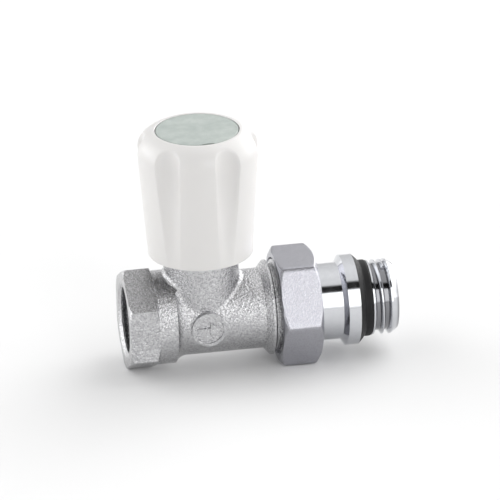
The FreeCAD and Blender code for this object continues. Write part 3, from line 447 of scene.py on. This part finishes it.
def dress_nodes(frame):
    """Gives every carried-over node the finish of its material slot."""
    finishes = {
        "plated_casting": cast_chrome(),
        "plated_nut": nut_chrome(),
        "polished_chrome": polished_chrome(),
        "bonnet_brass": turned_metal("bonnet_brass", (0.52, 0.34, 0.12), (0.64, 0.45, 0.18), rough=0.25),
        "turned_brass": turned_metal("turned_brass", (0.55, 0.37, 0.13), (0.66, 0.47, 0.19), rough=0.2),
        "spring_steel": turned_metal("spring_steel", (0.36, 0.36, 0.37), (0.46, 0.46, 0.47), rough=0.25),
        "white_plastic": white_plastic(),
        "grey_plastic": grey_plastic(),
        "slip_washer": slip_plastic(),
        "gasket": fibre(),
        "rubber": rubber(),
    }
    slots = {s["node"]: s["material_slot"] for s in frame["record"]["subparts"]}
    for name, obj in frame["nodes"].items():
        obj.material_slots[0].material = finishes[slots[name]]
        obj.data.shade_smooth()
    return finishes


# ---- lathe-like pieces -------------------------------------------------------------------------------
def smooth_least(a, b, width):
    """The lesser of two values, rounded off where they cross."""
    near = np.clip(width - np.abs(a - b), 0, None) / width
    return np.minimum(a, b) - near * near * width / 4


def soften(points, width, step=0.25, least=8):
    """A polyline of (position, radius) points, resampled evenly and with its corners rounded."""
    points = np.array(points, float)
    along = np.r_[0, np.cumsum(np.hypot(*np.diff(points, axis=0).T))]
    count = max(int(along[-1] / step), least)
    line = np.stack([np.interp(np.linspace(0, along[-1], count), along, points[:, k]) for k in (0, 1)], 1)
    reach = max(int(width / step), 1)
    kernel = np.hanning(2 * reach + 3)[1:-1]
    kernel /= kernel.sum()
    padded = np.vstack([2 * line[0] - line[reach:0:-1], line, 2 * line[-1] - line[-2:-reach - 2:-1]])
    smooth = np.stack([np.convolve(padded[:, k], kernel, "valid") for k in (0, 1)], 1)
    smooth[0], smooth[-1] = line[0], line[-1]
    return smooth


def turned_rows(axis, loop, angles, bound, blend):
    """One ring of points in mm for each (position, radius, is_outside) point of the loop."""
    rows = []
    for position, radius, outside in loop:
        r = np.full(len(angles), radius)
        if outside:
            r = smooth_least(r, bound, blend)
        along = np.full(len(angles), position)
        across = [r * np.cos(angles), r * np.sin(angles)]
        rows.append(np.stack([*across, along] if axis == "Z" else [along, *across], 1))
    return rows


def turned_piece(name, axis, origin, loop, around, limit=None, blend=0):
    """A closed ring about X or Z from a loop of (position, radius, is_outside) points in mm.

    Outside points are held within limit(angle), blended over the given width."""
    angles = np.arange(around) * 2 * math.pi / around
    bound = limit(angles) if limit else None
    verts = np.concatenate(turned_rows(axis, loop, angles, bound, blend)) * MM + np.array(origin)
    faces = []
    for i in range(len(loop)):
        below, above = i * around, (i + 1) % len(loop) * around
        for k in range(around):
            after = (k + 1) % around
            faces.append((below + k, below + after, above + after, above + k))
    mesh = bpy.data.meshes.new(name)
    mesh.from_pydata(verts.tolist(), [], faces)
    shaped = bmesh.new()
    shaped.from_mesh(mesh)
    bmesh.ops.recalc_face_normals(shaped, faces=shaped.faces)
    shaped.to_mesh(mesh)
    shaped.free()
    mesh.shade_smooth()
    mesh.set_sharp_from_angle(angle=math.radians(SHARP_ANGLE))
    piece = bpy.data.objects.new(name, mesh)
    bpy.context.scene.collection.objects.link(piece)
    return piece


# ---- handwheel -----------------------------------------------------------------------------------------
def flute_limit(angles):
    """How far out the handwheel's flutes let its surface come at each angle."""
    centre_r = FLUTE_REACH + FLUTE_R
    spacing = 2 * math.pi / FLUTE_COUNT
    off = (angles - math.radians(WHEEL_TURN) + spacing / 2) % spacing - spacing / 2
    under = FLUTE_R ** 2 - (centre_r * np.sin(off)) ** 2
    return np.where(under > 0, centre_r * np.cos(off) - np.sqrt(np.maximum(under, 0)), centre_r)


def crown_points(top):
    """The crown's bulging slope, from the shoulder up to the rim."""
    shoulder = np.array([top - CROWN_LEN, WHEEL_R])
    across = np.array([CROWN_LEN, RIM_R - WHEEL_R])
    outward = np.array([-across[1], across[0]]) / np.linalg.norm(across)
    points = []
    for share in np.linspace(0, 1, CROWN_POINTS):
        bulge = CROWN_BULGE * 4 * share * (1 - share)
        points.append(tuple(shoulder + across * share + outward * bulge))
    return points


def add_handwheel(finishes):
    low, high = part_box("handwheel")
    top = (high[2] - low[2]) / MM
    seat = top - COVER_T
    under_deck = DECK_TOP - DECK_T
    well_outside = WELL_R + WELL_WALL
    outside = soften([(WHEEL_FOOT_EDGE, WHEEL_FOOT_R)] + crown_points(top), CROWN_ROUND)
    loop = [(0, WHEEL_FOOT_R - WHEEL_FOOT_EDGE, False), (WHEEL_FOOT_MID, WHEEL_FOOT_R - WHEEL_FOOT_MID, True)]
    loop += [(z, r, True) for z, r in outside]
    inside = [(top, COVER_HOLE_R + COVER_HOLE_EDGE), (top - COVER_HOLE_EDGE, COVER_HOLE_R),
              (seat, COVER_HOLE_R), (seat, WELL_R), (DECK_TOP, WELL_R), (DECK_TOP, SCREW_HOLE_R),
              (HUB_FOOT, SCREW_HOLE_R), (HUB_FOOT, HUB_R), (under_deck, HUB_R), (under_deck, well_outside),
              (top - CROWN_SOLID, well_outside), (top - CROWN_SOLID, INSIDE_R),
              (under_deck - INSIDE_DROP, INSIDE_R), (0, WHEEL_FOOT_R - WHEEL_FOOT_WALL)]
    loop += [(z, r, False) for z, r in inside]
    foot = ((low[0] + high[0]) / 2, (low[1] + high[1]) / 2, low[2])
    piece = turned_piece("handwheel_shell", "Z", foot, loop, AROUND, flute_limit, FLUTE_BLEND)
    piece.data.materials.append(finishes["white_plastic"])
    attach(piece, "handwheel")
    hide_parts("handwheel")


# ---- union nut -----------------------------------------------------------------------------------------
def nut_limit(angles):
    """How far out the hexagon's flats let the nut come at each angle, with a corner at angle 0."""
    off = angles % (math.pi / 3) - math.pi / 6
    return NUT_AF / 2 / np.cos(off)


def add_nut(finishes):
    low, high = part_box("union_nut")
    length = (high[0] - low[0]) / MM
    corner = (NUT_AF + NUT_CORNER_MORE) / 2
    left_r, right_r = (NUT_AF + NUT_LEFT_MORE) / 2, (NUT_AF + NUT_RIGHT_MORE) / 2
    left = (corner - left_r) * NUT_CHAMFER_SLOPE
    right = (corner - right_r) * NUT_CHAMFER_SLOPE
    corners = [(NUT_END_STEP, left_r), (left, corner), (length - right, corner),
               (length - NUT_END_STEP, right_r)]
    outside = soften(corners, NUT_SOFTEN, NUT_STEP)
    inside = [(length, NUT_AF / 2 - NUT_RIGHT_INSET), (length, LIP_R + LIP_EDGE), (length - LIP_EDGE, LIP_R),
              (length - LIP_T, LIP_R), (length - LIP_T, NUT_RELIEF_R), (NUT_RELIEF_FROM, NUT_RELIEF_R),
              (NUT_ROOT_END, NUT_ROOT_R), (NUT_LEAD, NUT_ROOT_R), (0, NUT_ROOT_R + NUT_LEAD_MORE)]
    loop = [(0, NUT_AF / 2 - NUT_LEFT_INSET, False)]
    loop += [(x, r, True) for x, r in outside]
    loop += [(x, r, False) for x, r in inside]
    piece = turned_piece("union_nut_shell", "X", (low[0], 0, 0), loop, AROUND, nut_limit, NUT_BLEND)
    piece.data.materials.append(finishes["plated_nut"])
    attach(piece, "nut")
    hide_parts("union_nut")


# ---- radiator seal -------------------------------------------------------------------------------------
def add_seal(finishes):
    """The rubber ring, with a black skirt over the collar's bevel as painted shade for that bevel."""
    low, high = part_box("radiator_seal")
    width = (high[0] - low[0]) / MM
    # the skirt up the collar's bevel is painted shade: black rubber where the chrome bevel is only in shade
    corners = [(-SHADE_SKIRT_LAP, SHADE_SKIRT_R), (0, SHADE_SKIRT_FOOT_R), (SHADE_SKIRT_FOOT_LEN, SEAL_R),
               (width - SEAL_EDGE_LEN, SEAL_R), (width, SEAL_R - SEAL_EDGE_DROP)]
    outside = soften(corners, SEAL_SOFTEN, SEAL_STEP)
    loop = [(-SHADE_SKIRT_LAP, SEAL_INSIDE_R, False)]
    loop += [(x, r, False) for x, r in outside]
    loop += [(width, SEAL_INSIDE_R, False)]
    piece = turned_piece("radiator_seal_ring", "X", (low[0], 0, 0), loop, SEAL_AROUND)
    piece.data.materials.append(finishes["rubber"])
    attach(piece, "tail")
    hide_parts("radiator_seal")


def main():
    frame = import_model()
    bpy.context.scene.view_settings.view_transform = "Standard"
    cad_low, cad_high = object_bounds()
    low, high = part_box("spindle")
    neck_x = (low[0] + high[0]) / 2
    add_camera(neck_x)
    add_floor(cad_low[2])
    add_world()
    finishes = dress_nodes(frame)
    add_handwheel(finishes)
    add_nut(finishes)
    add_seal(finishes)


main()
